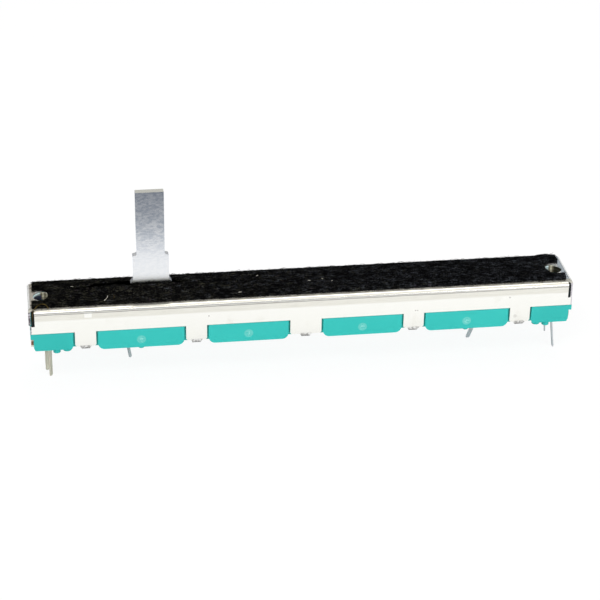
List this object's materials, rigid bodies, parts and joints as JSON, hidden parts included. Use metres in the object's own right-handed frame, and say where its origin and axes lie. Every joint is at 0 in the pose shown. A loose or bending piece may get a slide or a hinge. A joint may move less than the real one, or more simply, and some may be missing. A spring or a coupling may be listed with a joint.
{
  "type": "slide potentiometer",
  "caption": "Slide potentiometer with a folded metal cover, a felt dust strip, a teal moulded base, solder pins and a flat metal lever that slides along a slot.",
  "frame": {"origin": "middle of the metal mounting face, between the two screw holes", "axes": "+X along the lever's travel, +Z out of the mounting face towards the lever's tip, +Y to the rear row of pins"},
  "size_m": [0.075, 0.009, 0.0263],
  "materials": {
    "tinplate": "bright rolled tinplate",
    "felt": "matt pressed felt",
    "teal_plastic": "satin moulded plastic",
    "phenolic": "laminated paper board",
    "carbon": "printed carbon",
    "silver_carbon": "printed silver under carbon",
    "silver_print": "printed silver",
    "tinned_pin": "tinned",
    "lever_steel": "satin plated",
    "carriage_plastic": "natural acetal",
    "spring_bronze": "bright",
    "spring_steel": "bright"
  },
  "bodies": {
    "housing": {"cover_frame": "tinplate", "dust_felt": "felt", "base_moulding": "teal_plastic", "element_board": "phenolic", "resistive_track_rear": "carbon", "resistive_track_front": "carbon", "collector_track_rear": "silver_carbon", "collector_track_front": "silver_carbon", "silver_pads": "silver_print", "terminal_left_front": "tinned_pin", "terminal_left_middle": "tinned_pin", "terminal_left_rear": "tinned_pin", "terminal_right_front": "tinned_pin", "terminal_right_middle": "tinned_pin", "terminal_right_rear": "tinned_pin"},
    "slider": {"lever": "lever_steel", "slider_carriage": "carriage_plastic", "wiper_rear": "spring_bronze", "wiper_front": "spring_bronze", "drag_spring": "spring_steel"}
  },
  "joints": [
    {"name": "lever_slide", "type": "slide", "parent": "housing", "child": "slider", "axis": [1, 0, 0], "range_m": [-0.00926, 0.05074]}
  ]
}
